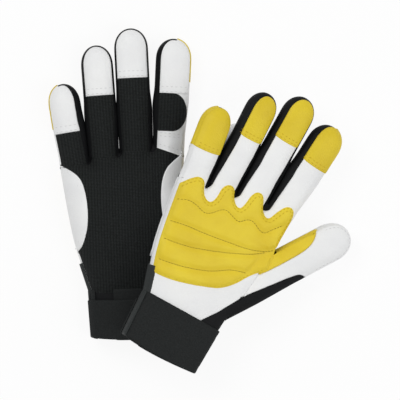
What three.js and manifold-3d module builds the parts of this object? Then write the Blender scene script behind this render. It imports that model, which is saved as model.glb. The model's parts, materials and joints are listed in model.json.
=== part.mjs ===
// A pair of leather-palm work gloves lying on a flat surface: the left glove back up, the right glove
// palm up and leaning on the left one. Each glove is the panels that it is sewn from, closed into hollow
// stalls for the fingers and thumb, a hollow hand and an open cuff with a hook-and-loop wrist tab.
//
// Units are millimetres. A glove is drawn in its own frame: +X towards the thumb, +Y towards the
// fingertips, +Z out of the back of the hand, with Z 0 on the palm face and Y 0 on the wrist seam.
import * as THREE from "three";
import { mergeVertices } from "three/addons/utils/BufferGeometryUtils.js";
import Module from "manifold-3d";

const wasm = await Module();
wasm.setup();

// ---- Driving dimensions -------------------------------------------------------------------------

const GAP = 0.3; // between two panels that are sewn edge to edge
const LEATHER = 1.3; // thickness of the goatskin
const KNIT = 1.1; // thickness of the stretch knit
const BAND = 1.8; // thickness of the cuff and its wrist tab
const PAD = 1.0; // thickness of each hook or loop pad
const PATCH = 2.7; // thickness of the padded palm patch

// Each finger stall starts at its knuckle crease. root is the middle of that crease, fan the stall's
// direction on the left and on the right glove in degrees towards the thumb, cap the length of the
// fingertip panels, outer the side that has no neighbour (-1 little finger side, +1 thumb side).
const FINGERS = {
  little: { root: [-39.4, 97], fan: [-7.2, -7.6], length: 54, rootHalf: 11.1, half: 11.9, cap: 35, outer: -1 },
  ring: { root: [-16.8, 103], fan: [-2.4, -1.8], length: 75, rootHalf: 11, half: 12.2, cap: 37, outer: 0 },
  middle: { root: [7.6, 108.5], fan: [-0.8, 0.8], length: 81, rootHalf: 12, half: 12.9, cap: 36.5, outer: 0 },
  index: { root: [33.4, 110], fan: [4.6, 4.4], length: 71, rootHalf: 11.4, half: 13.2, cap: 35, outer: 1 },
};
const FINGER_TIP = 16; // length of the rounded end of a stall
const TIP_ROUNDNESS = 2.2; // power of the curve that a stall's end follows
const WIDENS_OVER = 0.45; // share of a stall's straight length in which it reaches its full width
const FLAT_FROM = 0.75; // a plate's crown falls once the stall is narrower than this share of its width
const FINGER_TOP = 19; // height of a finger stall
const FINGER_WALL = [4.2, 12.8]; // bottom and top of a stall's side wall

const THUMB = { root: [37.5, 40], fan: [35, 35], rootHalf: 18, half: 14.6, length: 91.5, tip: 18 };
const THUMB_TOP = 20;
const THUMB_WALL = [4.2, 13.5];
const THUMB_SEAM_X = -5.5; // seam between the thumb saddle and the thumb leather
const THUMB_SADDLE_END = 62;
const THUMB_FROM = -45; // the stall is drawn from here and cut to its base line
// The line that the thumb stall is sewn on, from the thumb crotch to the wrist.
const THUMB_BASE = [
  [41.5, 76],
  [33.5, 6],
];

// Sections of the hand across the glove: y, little finger edge, thumb edge, height of the back.
const HAND = [
  [0, -32, 32, 25],
  [14, -35.6, 34.5, 27],
  [33, -41.2, 38.5, 29.5],
  [54, -44.8, 41, 30],
  [76, -48, 42.4, 28],
  [96, -50.3, 43.4, 22],
  [112, -50.6, 44, 20],
];
const HAND_BASE = 3; // the palm leather's lowest face, above the palm patch
const EQUATOR = 10.5; // height at which the hand is widest
const BACK_EDGE = 20; // the knit back ends this many degrees above the equator
const PALM_SQUARENESS = 4.5; // superellipse power of the flat palm half of a section
const BACK_SQUARENESS = 2.3; // and of the crowned back half

const CUFF = { from: -36.5, to: -0.5, half: 31, equator: 12, up: 12, down: 11.5 };
const CUFF_SLIT = [112, 150]; // the vent in the back of the cuff, in degrees round the wrist
const TAB = { from: -36, to: -8, start: 52, end: 172 };
const PADS = { from: -33, to: -11, start: 58, end: 104 };

// The padded palm patch: its outline from the wrist end round the four lobes below the fingers.
const PATCH_OUTLINE = [
  [-36.5, 15], [-41, 33], [-43.5, 55], [-45.5, 79], [-44, 88],
  [-36, 94.5], [-28, 92], [-24.5, 83], [-20, 85],
  [-14, 98.5], [-8, 98], [-3, 90], [2.5, 91],
  [6, 104], [13, 103.5], [18, 94], [23.5, 95],
  [28, 105], [36.5, 104.5], [39, 94], [37.5, 76], [35, 52], [24, 31], [4, 26], [-18, 21],
];

// How each glove lies. stretch is how far the glove is pulled out along the hand.
const LEFT = { name: "left", side: 0, stretch: 1.03, mirror: 1, at: [-52.92, -66.7, 0], turn: 2, lean: 0, dip: 0 };
const RIGHT = { name: "right", side: 1, stretch: 0.97, mirror: -1, at: [-12.32, -82.7, 52.6], turn: -29.5, lean: 17.5, dip: 4 };

// ---- Materials ----------------------------------------------------------------------------------

const material = (color, roughness) => new THREE.MeshStandardMaterial({ color, roughness, metalness: 0 });
const WHITE_LEATHER = material(0xf0efec, 0.62);
const YELLOW_LEATHER = material(0xe6c72e, 0.6);
const BLACK_KNIT = material(0x1b1d1c, 0.9);
const CUFF_BLACK = material(0x2b2e2e, 0.75);
const HOOK_AND_LOOP = material(0x161616, 0.95);

// ---- Solids -------------------------------------------------------------------------------------

const point = (x, y, z) => new THREE.Vector3(x, y, z);

// A panel between two grids of points of the same size: rows[i][j] outside, and the same inside.
function panel(outer, inner) {
  const rows = outer.length;
  const columns = outer[0].length;
  const vertices = [...outer.flat(), ...inner.flat()];
  const at = (layer, i, j) => layer * rows * columns + i * columns + j;
  const faces = [];
  const quad = (a, b, c, d) => faces.push(a, b, c, a, c, d);
  for (let i = 0; i < rows - 1; i++)
    for (let j = 0; j < columns - 1; j++) {
      quad(at(0, i, j), at(0, i, j + 1), at(0, i + 1, j + 1), at(0, i + 1, j));
      quad(at(1, i, j), at(1, i + 1, j), at(1, i + 1, j + 1), at(1, i, j + 1));
    }
  for (let i = 0; i < rows - 1; i++) {
    quad(at(0, i, 0), at(0, i + 1, 0), at(1, i + 1, 0), at(1, i, 0));
    quad(at(0, i, columns - 1), at(1, i, columns - 1), at(1, i + 1, columns - 1), at(0, i + 1, columns - 1));
  }
  for (let j = 0; j < columns - 1; j++) {
    quad(at(0, 0, j), at(1, 0, j), at(1, 0, j + 1), at(0, 0, j + 1));
    quad(at(0, rows - 1, j), at(0, rows - 1, j + 1), at(1, rows - 1, j + 1), at(1, rows - 1, j));
  }
  const geometry = new THREE.BufferGeometry();
  geometry.setAttribute("position", new THREE.Float32BufferAttribute(vertices.flatMap((v) => v.toArray()), 3));
  geometry.setIndex(faces);
  return solid(geometry);
}

// A closed geometry as a manifold solid with its faces pointing out.
function solid(geometry) {
  const bare = new THREE.BufferGeometry();
  bare.setAttribute("position", geometry.getAttribute("position"));
  bare.setIndex(geometry.index);
  const merged = mergeVertices(bare, 1e-4);
  const triVerts = new Uint32Array(merged.index.array);
  const vertProperties = merged.attributes.position.array;
  const made = new wasm.Manifold(new wasm.Mesh({ numProp: 3, vertProperties, triVerts }));
  if (made.volume() > 0) return made;
  for (let i = 0; i < triVerts.length; i += 3) triVerts.subarray(i, i + 2).reverse();
  return new wasm.Manifold(new wasm.Mesh({ numProp: 3, vertProperties, triVerts }));
}

// A solid as a named three.js mesh.
function meshOf(name, made, finish) {
  const { vertProperties, triVerts } = made.getMesh();
  const geometry = new THREE.BufferGeometry();
  geometry.setAttribute("position", new THREE.BufferAttribute(vertProperties, 3));
  geometry.setIndex(new THREE.BufferAttribute(triVerts, 1));
  geometry.computeVertexNormals();
  const mesh = new THREE.Mesh(geometry, finish);
  mesh.name = name;
  return mesh;
}

// A prism over a plan outline, between two heights.
function prism(outline, bottom, top) {
  const shape = new THREE.Shape(outline.map(([x, y]) => new THREE.Vector2(x, y)));
  const geometry = new THREE.ExtrudeGeometry(shape, { depth: top - bottom, bevelEnabled: false });
  return solid(mergeVertices(geometry.deleteAttribute("normal").deleteAttribute("uv").translate(0, 0, bottom)));
}

const TALL = [-60, 90]; // heights that reach past every panel

const steps = (from, to, count) => Array.from({ length: count + 1 }, (_, i) => from + ((to - from) * i) / count);

// ---- Stalls: a finger or the thumb in its own frame, +Y along it from the crease ------------------

// Half the width of a stall at y: it widens from the root and ends in a rounded tip.
function halfWidth(stall, y) {
  const widening = Math.min(1, Math.max(0, y / (stall.length - stall.tip) / WIDENS_OVER));
  const straight = stall.rootHalf + (stall.half - stall.rootHalf) * widening;
  const past = Math.max(0, (y - (stall.length - stall.tip)) / stall.tip);
  return straight * Math.sqrt(Math.max(0, 1 - past ** TIP_ROUNDNESS));
}

const TIP_STEPS = [0.4, 0.68, 0.87, 0.97];

// The places along a stall where its panels have a row of points, between two lengths.
function stations(stall, from, to) {
  const body = stall.length - stall.tip;
  const rows = to > body ? steps(from, Math.max(from + 1, body), 2) : steps(from, to, 2);
  if (to > body) rows.push(...TIP_STEPS.map((share) => body + share * stall.tip));
  return rows;
}

// The back (top) or front (bottom) panel of a stall. It is crowned across and falls away at the tip.
// wraps lists the sides, -1 or 1, on which the panel also folds over to be the stall's side wall.
function plate(stall, from, to, onBack, thickness, wraps = []) {
  const [low, high] = stall.wall;
  const [rim, hem] = onBack ? [high + GAP, low] : [low - GAP, high];
  const up = onBack ? 1 : -1;
  const crown = (onBack ? stall.top - rim : rim) - thickness;
  const power = onBack ? BACK_SQUARENESS : PALM_SQUARENESS;
  const grid = (outside) =>
    stations(stall, from, to).map((y) => {
      const half = halfWidth(stall, y);
      const folded = outside ? half : half - thickness;
      const flatten = Math.min(1, half / (stall.half * FLAT_FROM));
      const row = steps(-1, 1, 6).map((share) => {
        const dome = (1 - Math.abs(share) ** power) ** (1 / power);
        const x = share * (wraps.includes(share) ? folded : half);
        return point(x, y, rim + up * (crown * dome * flatten + (outside ? thickness : 0)));
      });
      if (wraps.includes(-1)) row.unshift(point(-folded, y, hem));
      if (wraps.includes(1)) row.push(point(folded, y, hem));
      return row;
    });
  return panel(grid(true), grid(false));
}

// A side wall of a stall. It runs up one side to the tip, and down the other where round is set.
function sideWall(stall, from, side, round, thickness) {
  const body = stall.length - stall.tip;
  const along = [...steps(from, body, 3), ...TIP_STEPS.map((share) => body + share * stall.tip)];
  const edge = (inset) => {
    const half = (y) => Math.max(0.4, halfWidth(stall, y) - inset);
    const up = along.map((y) => [side * half(y), y - inset * Math.max(0, (y - body) / stall.tip)]);
    const apex = [[0, stall.length - inset]];
    return round ? [...up, ...apex, ...up.map(([x, y]) => [-x, y]).reverse()] : [...up, ...apex];
  };
  const [low, high] = stall.wall;
  const row = (inset) => edge(inset).map(([x, y]) => [point(x, y, low), point(x, y, high)]);
  return panel(row(0), row(thickness));
}

// ---- Hand and cuff: sections round the hand, 0 degrees on the thumb side and 90 on the back ------

// The point of a section at an angle. offset is how far it stands out from the section.
function onSection({ y, centre, half, equator, up, down }, degrees, offset) {
  const angle = THREE.MathUtils.degToRad(degrees);
  const [c, s] = [Math.cos(angle), Math.sin(angle)];
  const power = s >= 0 ? BACK_SQUARENESS : PALM_SQUARENESS;
  const height = s >= 0 ? up : down;
  const x = Math.sign(c) * Math.abs(c) ** (2 / power) * (half + offset);
  const z = Math.sign(s) * Math.abs(s) ** (2 / power) * (height + offset);
  return point(centre + x, y, equator + z);
}

function sleeve(sections, start, end, count, inner, outer) {
  const grid = (offset) =>
    sections.map((section) => steps(start, end, count).map((degrees) => onSection(section, degrees, offset)));
  return panel(grid(outer), grid(inner));
}

const handSections = (stretch) =>
  HAND.map(([y, left, right, top]) => ({
    y: Math.max(0.2, y * stretch),
    centre: (left + right) / 2,
    half: (right - left) / 2,
    equator: EQUATOR,
    up: top - EQUATOR,
    down: EQUATOR - HAND_BASE,
  }));

const cuffSections = (from, to) =>
  steps(from, to, 1).map((y) => ({ ...CUFF, y, centre: 0 }));

// ---- One glove ----------------------------------------------------------------------------------

// A finger or thumb with its place in this glove.
const placed = (stall, lie) => ({
  ...stall,
  root: [stall.root[0], stall.root[1] * lie.stretch],
  length: stall.length * lie.stretch,
  direction: THREE.MathUtils.degToRad(stall.fan[lie.side]),
});

// The outline of everything past the knuckle creases, which the hand's panels leave free.
function fingersOutline(fingers) {
  const crease = fingers.flatMap(({ root: [x, y], direction, rootHalf }) => {
    const reach = rootHalf + GAP - 0.05;
    const [dx, dy] = [Math.cos(direction) * reach, -Math.sin(direction) * reach];
    return [
      [x - dx, y - dy - GAP],
      [x + dx, y + dy - GAP],
    ];
  });
  const [first, last] = [crease[0], crease[crease.length - 1]];
  return [[first[0] - 30, first[1]], ...crease, [last[0] + 30, last[1]], [last[0] + 30, 260], [first[0] - 30, 260]];
}

// The outline on the thumb's side of the line that the thumb is sewn on, set out by a margin.
function thumbOutline(stretch, margin) {
  const [[x1, y1], [x2, y2]] = THUMB_BASE.map(([x, y]) => [x + margin, y * stretch]);
  return [[x2, y2], [150, y2], [150, y1 + 90], [x1 + 20, y1 + 90], [x1, y1]];
}

function finger(lie, name, stall) {
  const capFrom = stall.length - stall.cap;
  // Leather wraps round the free side of the index and little fingers, where no fourchette is needed.
  const wraps = stall.outer ? [stall.outer] : [];
  const group = new THREE.Group();
  group.name = `${lie.name}_${name}_stall`;
  group.position.set(stall.root[0], stall.root[1], 0);
  group.rotation.z = -stall.direction;
  const add = (part, made, finish) => group.add(meshOf(`${lie.name}_${name}_${part}`, made, finish));
  add("back", plate(stall, GAP, capFrom - GAP, true, KNIT), BLACK_KNIT);
  add("front", plate(stall, GAP, capFrom - GAP, false, LEATHER, wraps), WHITE_LEATHER);
  add("tip_cap", plate(stall, capFrom, stall.length, true, LEATHER, wraps), WHITE_LEATHER);
  add("tip_patch", plate(stall, capFrom, stall.length, false, LEATHER), YELLOW_LEATHER);
  add("fourchette", sideWall(stall, GAP, -stall.outer || 1, !stall.outer, KNIT), BLACK_KNIT);
  return group;
}

function thumb(lie, stall) {
  const group = new THREE.Group();
  group.name = `${lie.name}_thumb_stall`;
  // The stall is drawn along its own axis, then cut by the line that it is sewn on.
  const toGlove = new THREE.Matrix4().makeRotationZ(-stall.direction).setPosition(...stall.root, 0);
  const keep = prism(thumbOutline(lie.stretch, 0.5), ...TALL);
  const seat = (made) => made.transform(toGlove.elements).intersect(keep);
  const add = (part, made, finish) => group.add(meshOf(`${lie.name}_thumb_${part}`, seat(made), finish));
  const corner = (margin) => {
    const [right, top] = [THUMB_SEAM_X + margin, THUMB_SADDLE_END + margin];
    return prism([[-40, THUMB_FROM], [right, THUMB_FROM], [right, top], [-40, top]], ...TALL);
  };
  const front = plate(stall, THUMB_FROM, stall.length, false, LEATHER);
  add("front", front.subtract(corner(GAP)), WHITE_LEATHER);
  add("saddle", front.intersect(corner(0)), YELLOW_LEATHER);
  add("back", plate(stall, THUMB_FROM, stall.length, true, KNIT, [-1, 1]), BLACK_KNIT);
  return group;
}

function hand(lie, fingers) {
  const group = new THREE.Group();
  const past = prism(fingersOutline(fingers), ...TALL);
  const thumbSide = prism(thumbOutline(lie.stretch, -GAP), ...TALL);
  const sections = handSections(lie.stretch);
  const add = (part, made, finish) => group.add(meshOf(`${lie.name}_${part}`, made, finish));
  const leather = sleeve(sections, 180 - BACK_EDGE, 360 + BACK_EDGE, 18, -LEATHER, 0);
  add("palm_leather", leather.subtract(past).subtract(thumbSide), WHITE_LEATHER);
  const knit = sleeve(sections, BACK_EDGE + 1, 179 - BACK_EDGE, 12, -KNIT, 0);
  add("knit_back", knit.subtract(past).subtract(thumbSide), BLACK_KNIT);
  const patch = PATCH_OUTLINE.map(([x, y]) => [x, y * lie.stretch]);
  add("palm_patch", prism(patch, 0, PATCH), YELLOW_LEATHER);
  add("cuff_band", sleeve(cuffSections(CUFF.from, CUFF.to), CUFF_SLIT[1], CUFF_SLIT[0] + 360, 20, -BAND, 0), CUFF_BLACK);
  const pads = cuffSections(PADS.from, PADS.to);
  add("loop_pad", sleeve(pads, PADS.start, PADS.end, 4, GAP, GAP + PAD), HOOK_AND_LOOP);
  return group;
}

function tab(lie) {
  const group = new THREE.Group();
  group.name = `${lie.name}_tab_hinge`;
  const bottom = 3 * GAP + 2 * PAD;
  const add = (part, made, finish) => group.add(meshOf(`${lie.name}_${part}`, made, finish));
  add("wrist_tab", sleeve(cuffSections(TAB.from, TAB.to), TAB.start, TAB.end, 9, bottom, bottom + BAND), CUFF_BLACK);
  const pads = cuffSections(PADS.from, PADS.to);
  add("hook_pad", sleeve(pads, PADS.start, PADS.end, 4, 2 * GAP + PAD, 2 * GAP + 2 * PAD), HOOK_AND_LOOP);
  return group;
}

function glove(lie) {
  const group = new THREE.Group();
  const fingers = Object.entries(FINGERS).map(([name, stall]) => [
    name,
    placed({ ...stall, tip: FINGER_TIP, top: FINGER_TOP, wall: FINGER_WALL }, lie),
  ]);
  group.add(hand(lie, fingers.map(([, stall]) => stall)));
  fingers.forEach(([name, stall]) => group.add(finger(lie, name, stall)));
  group.add(thumb(lie, placed({ ...THUMB, top: THUMB_TOP, wall: THUMB_WALL }, lie)));
  group.add(tab(lie));
  // The right glove is the left one's mirror image, so its back faces down.
  group.scale.z = lie.mirror;
  const leaning = new THREE.Group();
  leaning.name = `${lie.name}_glove`;
  leaning.add(group);
  leaning.position.set(...lie.at);
  leaning.rotation.set(...[-lie.dip, lie.lean, lie.turn].map(THREE.MathUtils.degToRad), "ZYX");
  return leaning;
}

const pair = new THREE.Group();
pair.add(glove(LEFT), glove(RIGHT));

export default pair;
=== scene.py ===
# %% [markdown]
# A pair of leather-palm work gloves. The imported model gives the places: every glove, finger, thumb and
# wrist tab is a body that moves, and this file sews the soft gloves over them. Lengths are worked out in
# millimetres, because that is how a glove cutter measures, and turned to metres when a mesh is made.

# %% Load the frame
import json
import math

import bmesh
import bpy
import numpy as np
from mathutils import Matrix, Vector


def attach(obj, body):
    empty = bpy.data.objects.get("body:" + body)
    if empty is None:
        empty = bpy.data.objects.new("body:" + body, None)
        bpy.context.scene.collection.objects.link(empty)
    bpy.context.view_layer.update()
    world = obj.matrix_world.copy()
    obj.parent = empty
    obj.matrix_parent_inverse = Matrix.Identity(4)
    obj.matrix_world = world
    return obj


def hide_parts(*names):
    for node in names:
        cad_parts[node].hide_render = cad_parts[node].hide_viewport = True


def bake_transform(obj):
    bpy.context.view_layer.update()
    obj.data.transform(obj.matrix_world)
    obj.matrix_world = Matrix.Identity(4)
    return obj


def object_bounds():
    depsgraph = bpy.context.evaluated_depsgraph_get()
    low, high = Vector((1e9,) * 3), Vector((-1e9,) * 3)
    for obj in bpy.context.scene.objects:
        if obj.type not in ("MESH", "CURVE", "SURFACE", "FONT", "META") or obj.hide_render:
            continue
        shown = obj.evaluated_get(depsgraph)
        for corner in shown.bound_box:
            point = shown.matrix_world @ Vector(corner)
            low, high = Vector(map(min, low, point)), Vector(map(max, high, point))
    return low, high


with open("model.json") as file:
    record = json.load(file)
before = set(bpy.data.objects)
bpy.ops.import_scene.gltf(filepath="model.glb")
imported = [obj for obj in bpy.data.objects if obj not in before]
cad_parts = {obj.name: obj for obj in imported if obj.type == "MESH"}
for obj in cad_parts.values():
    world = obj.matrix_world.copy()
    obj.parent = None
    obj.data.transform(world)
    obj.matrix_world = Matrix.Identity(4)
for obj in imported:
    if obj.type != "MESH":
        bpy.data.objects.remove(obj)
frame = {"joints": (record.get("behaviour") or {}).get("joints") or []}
cad_low, cad_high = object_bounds()
joints = {joint["name"]: joint for joint in frame["joints"]}
scene = bpy.context.scene

# %% [markdown]
# The gloves lie flat, so the camera looks straight down. A long lens from far above keeps the raised
# glove from looking larger than the one on the floor.

# %% Camera
CAMERA_HEIGHT = 3.0
FRAME_WIDTH = 0.3  # what the picture spans at the floor
camera_data = bpy.data.cameras.new("camera")
camera_data.sensor_width = 36
camera_data.lens = 36 * (CAMERA_HEIGHT - 0.02) / FRAME_WIDTH
camera = bpy.data.objects.new("camera", camera_data)
camera.location = (
    (cad_low.x + cad_high.x) / 2 - 0.0007, (cad_low.y + cad_high.y) / 2 - 0.0008, CAMERA_HEIGHT
)
scene.collection.objects.link(camera)
scene.camera = camera

# %% [markdown]
# A glove is drawn in its own flat frame first: u runs towards the thumb, v from the wrist seam to the
# fingertips, and z out of the back of the hand. Both gloves share one pattern, and each lies its own way.
# Where it lies comes from its four knuckle hinges: the turn that best lays the pattern's knuckles on them.

# %% Pattern sizes
FINGERS = {
    "little": {"root": (-39.4, 97), "fan": (-7.2, -7.6), "length": 54, "root_half": 11.1, "half": 11.9},
    "ring": {"root": (-16.8, 103), "fan": (-2.4, -1.8), "length": 75, "root_half": 11, "half": 12.2},
    "middle": {"root": (7.6, 108.5), "fan": (-0.8, 0.8), "length": 81, "root_half": 12, "half": 12.9},
    "index": {"root": (33.4, 110), "fan": (4.6, 4.4), "length": 71, "root_half": 11.4, "half": 13.2},
}
THUMB = {"root": (37.5, 40), "fan": (35, 35), "length": 91.5, "root_half": 15.4, "half": 14.6}
TIP = {"finger": 16, "thumb": 18}  # length of a rounded tip
BASE_LINE = ((41.5, 76), (33.5, 6))  # the thumb is sewn on here
HAND_EDGE = ((-29.4, -5), (-31, 0), (-35.2, 14), (-41, 33), (-44.8, 54), (-48, 76), (-50.2, 92))
# How far a stall's slits run below its knuckle.
CREASE = {"little": -7, "ring": -7, "middle": -9, "index": -9}
SIDES = {"left": {"index": 0, "stretch": 1.03, "up": 1}, "right": {"index": 1, "stretch": 0.97, "up": -1}}

# %% [markdown]
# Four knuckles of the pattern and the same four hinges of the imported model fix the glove's lie. A least
# squares fit gives its two flat directions, and the third one is square to both.


# %% Lay the pattern's frame on the hinges
def lie_of(side):
    facts = SIDES[side]
    local = np.array([(f["root"][0], f["root"][1] * facts["stretch"]) for f in FINGERS.values()])
    world = np.array([joints[f"{side}_{name}_knuckle"]["pos_m"] for name in FINGERS]) * 1000
    flat = np.hstack([local, np.ones((4, 1))])
    fit = np.linalg.lstsq(flat, world, rcond=None)[0]
    across = fit[0] / np.linalg.norm(fit[0])
    along = fit[1] - across * fit[1].dot(across)
    along /= np.linalg.norm(along)
    out = np.cross(across, along) * facts["up"]
    return np.array([across, along, out]), fit[2]


for side in SIDES:
    SIDES[side]["axes"], SIDES[side]["origin"] = lie_of(side)
    print(side, "origin", SIDES[side]["origin"].round(1), "up", SIDES[side]["axes"][2].round(2))


def to_world(side, local):
    return (np.asarray(local, float) @ SIDES[side]["axes"] + SIDES[side]["origin"]) / 1000


# %% [markdown]
# A stall, the tube for one finger, is a strip with straight sides and a rounded end. Its outline is worked
# out along its own middle line and then laid into the glove's frame.

# %% Stalls
def stall_of(side, name):
    base = THUMB if name == "thumb" else FINGERS[name]
    facts = SIDES[side]
    angle = math.radians(base["fan"][facts["index"]])
    stall = {**base, "tip": TIP["thumb" if name == "thumb" else "finger"], "name": name}
    stall["length"] = base["length"] * facts["stretch"]
    stall["root"] = np.array((base["root"][0], base["root"][1] * facts["stretch"]))
    stall["across"] = np.array((math.cos(angle), -math.sin(angle)))
    stall["along"] = np.array((math.sin(angle), math.cos(angle)))
    return stall


def in_glove(stall, points):
    points = np.asarray(points, float)
    return stall["root"] + points[:, :1] * stall["across"] + points[:, 1:] * stall["along"]


def in_stall(stall, points):
    away = np.asarray(points, float) - stall["root"]
    return np.stack([away @ stall["across"], away @ stall["along"]], 1)


def straight_half(stall, y):
    share = np.clip(y / (stall["length"] - stall["tip"]) / 0.45, 0, 1)
    return stall["root_half"] + (stall["half"] - stall["root_half"]) * share


def stall_outline(stall, low_left, low_right, inset=(0, 0, 0), high=None):
    """Up the left side, round the tip or across at high, and down the right. inset: left, right, tip."""
    body = stall["length"] - stall["tip"]
    top = body if high is None else high
    rise = np.arange(low_left, top, 1.2)
    fall = np.arange(low_right, top, 1.2)[::-1]

    def reach_at(y, inset):
        """A wide inset is narrower at the root, where the slit between two stalls closes."""
        return straight_half(stall, y) - np.minimum(inset, 2.0 + np.clip(y, 0, 30) / 10)

    left = np.stack([-reach_at(rise, inset[0]), rise], 1)
    right = np.stack([reach_at(fall, inset[1]), fall], 1)
    if high is None:
        turn = np.radians(np.linspace(0, 180, 33))
        reach = stall["half"] - np.where(turn < math.pi / 2, inset[0], inset[1])
        tip = np.stack([-np.cos(turn) * reach, body + (stall["tip"] - inset[2]) * np.sin(turn) ** 0.91], 1)
    else:
        x = np.linspace(left[-1, 0], right[0, 0], 14)
        tip = np.stack([x, np.full(len(x), float(top))], 1)
    return np.concatenate([left, tip, right])


STALLS = {side: {name: stall_of(side, name) for name in [*FINGERS, "thumb"]} for side in SIDES}

# %% [markdown]
# The outline of the whole glove, once round: up the little finger's edge, over each fingertip with a narrow
# slit between, round the thumb and back to the wrist. It is sampled evenly so that it can be measured to.

# %% Outline of a glove
SMOOTHING = 3  # how many times the corners of a drawn line are cut
LINE_STEP = 1.2  # spacing of the points of a smoothed line


def even(points, step=1.0, closed=False):
    points = np.asarray(points, float)
    if closed:
        points = np.vstack([points, points[:1]])
    length = np.concatenate([[0], np.cumsum(np.linalg.norm(np.diff(points, axis=0), axis=1))])
    at = np.linspace(0, length[-1], max(3, int(length[-1] / step) + 1))
    out = np.stack([np.interp(at, length, points[:, k]) for k in range(points.shape[1])], 1)
    return out[:-1] if closed else out


def rounded(points):
    """Corner cutting, so that a few corner points make a smooth line between the two ends."""
    points = np.asarray(points, float)
    for _ in range(SMOOTHING):
        near, far = points[:-1], points[1:]
        cut = np.empty((2 * len(near), points.shape[1]))
        cut[0::2], cut[1::2] = near * 0.75 + far * 0.25, near * 0.25 + far * 0.75
        points = np.vstack([points[:1], cut[1:-1], points[-1:]])
    return points


def stretched(side, points):
    return np.asarray(points, float) * (1, SIDES[side]["stretch"])


def finger_run(side, name, low_left=None, low_right=None):
    stall = STALLS[side][name]
    low = CREASE[name]
    return in_glove(
        stall,
        stall_outline(stall, low if low_left is None else low_left, low if low_right is None else low_right)
    )


def glove_outline(side):
    thumb = STALLS[side]["thumb"]
    thumb_run = in_glove(thumb, stall_outline(thumb, 34, -26))
    parts = [rounded(stretched(side, HAND_EDGE)), finger_run(side, "little", 0), finger_run(side, "ring")]
    parts += [finger_run(side, "middle"), finger_run(side, "index", None, -10)]
    parts += [thumb_run, stretched(side, [(34.4, 1), (33.2, -5)])]
    return even(np.concatenate(parts), 1.0)


OUTLINE = {side: glove_outline(side) for side in SIDES}
print("outline points", {side: len(line) for side, line in OUTLINE.items()})

# %% [markdown]
# The form is what the panels are laid on, as if the glove were filled with a hand. Seen from above it is a
# pillow: its height rises from the outline in a quarter of an ellipse and then runs level. Measuring the
# distance to the outline once on a half-millimetre lattice makes every later look-up quick.

# %% Distance to a line
def distance(points, line):
    """From each point to the nearest place on a line."""
    points = np.asarray(points, float)
    best = np.full(len(points), 1e9)
    for a, b in zip(line[:-1], line[1:]):
        ab = b - a
        t = np.clip((points - a) @ ab / max(1e-9, ab @ ab), 0, 1)
        best = np.minimum(best, ((points - a - t[:, None] * ab) ** 2).sum(1))
    return np.sqrt(best)


def smoothstep(a, b, x):
    t = np.clip((x - a) / (b - a), 0, 1)
    return t * t * (3 - 2 * t)


def soft_noise(shape, cells, seed):
    """Smooth random hills of height 1 on a lattice, the same ones every time."""
    coarse = np.random.RandomState(seed).uniform(-1, 1, (cells[0] + 2, cells[1] + 2))
    rows, columns = np.linspace(0, cells[0], shape[0]), np.linspace(0, cells[1], shape[1])
    i, j = rows.astype(int), columns.astype(int)
    a, b = rows - i, columns - j
    a, b = (a * a * (3 - 2 * a))[:, None], (b * b * (3 - 2 * b))[None, :]
    i, j = i[:, None], j[None, :]
    return (coarse[i, j] * (1 - a) + coarse[i + 1, j] * a) * (1 - b) + (
        coarse[i, j + 1] * (1 - a) + coarse[i + 1, j + 1] * a
    ) * b


# %% [markdown]
# The heights come from a few sizes along the hand: the thickest part is the middle of the palm, and fingers
# and thumb are lower. Faint random hills keep the leather from looking pressed.


# %% The form's heights
HEIGHTS = (
    (-6, 21.5), (0, 23.5), (14, 26.5), (33, 29.2), (54, 29.6), (76, 27.6), (92, 23), (108, 19.4), (240, 18.6)
)
CELL = 0.5  # the lattice's spacing
SLOPE_STEP = 0.5  # how far to each side the form's slope is measured


def past_base_line(side, u, v):
    """How far a point lies past the line that the thumb is sewn on, towards the thumb."""
    (u1, v1), (u2, v2) = stretched(side, BASE_LINE)
    along = np.array((u1 - u2, v1 - v2)) / math.hypot(u1 - u2, v1 - v2)
    return (u - u2) * along[1] - (v - v2) * along[0]


def levels(side, u, v):
    """Lowest face, equator and highest face of the form, and how far in its palm and back edges round."""
    flat = v / SIDES[side]["stretch"]
    fingers = smoothstep(84, 112, flat)
    thumb = smoothstep(-10, 16, past_base_line(side, u, v)) * (1 - smoothstep(92, 112, flat) * (u < 50))
    top = np.interp(flat, *zip(*HEIGHTS))
    top = top * (1 - thumb) + 19.6 * thumb
    low = 3 - 2.2 * np.maximum(fingers, thumb)
    middle = 10.8 - 1.2 * fingers - 1.0 * thumb
    narrow = np.maximum(fingers, thumb)
    return low, middle, top, 12 - 1.5 * fingers, 22 - 10 * narrow


def build_form(side):
    line = OUTLINE[side]
    low, high = line.min(0) - 4, line.max(0) + 4
    us, vs = np.arange(low[0], high[0], CELL), np.arange(low[1], high[1], CELL)
    u, v = np.meshgrid(us, vs, indexing="ij")
    d = distance(np.stack([u.ravel(), v.ravel()], 1), line).reshape(u.shape)
    base, middle, top, round_palm, round_back = levels(side, u, v)
    palm = middle - (middle - base) * np.sqrt(1 - (1 - np.clip(d / round_palm, 0, 1)) ** 2)
    back = middle + (top - middle) * np.sqrt(1 - (1 - np.clip(d / round_back, 0, 1)) ** 2)
    ripple = soft_noise(u.shape, (16, 26), 5) * 0.35 + soft_noise(u.shape, (34, 56), 8) * 0.16
    inside = smoothstep(1, 5, d)
    return {"low": low, "distance": d, "palm": palm + ripple * inside, "back": back + ripple[::-1] * inside}


FORM = {side: build_form(side) for side in SIDES}
print("form lattice", FORM["left"]["palm"].shape)

# %% [markdown]
# Panels look their height up on the lattice, and the slope beside it gives the direction they face.


# %% Look up the form


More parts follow.
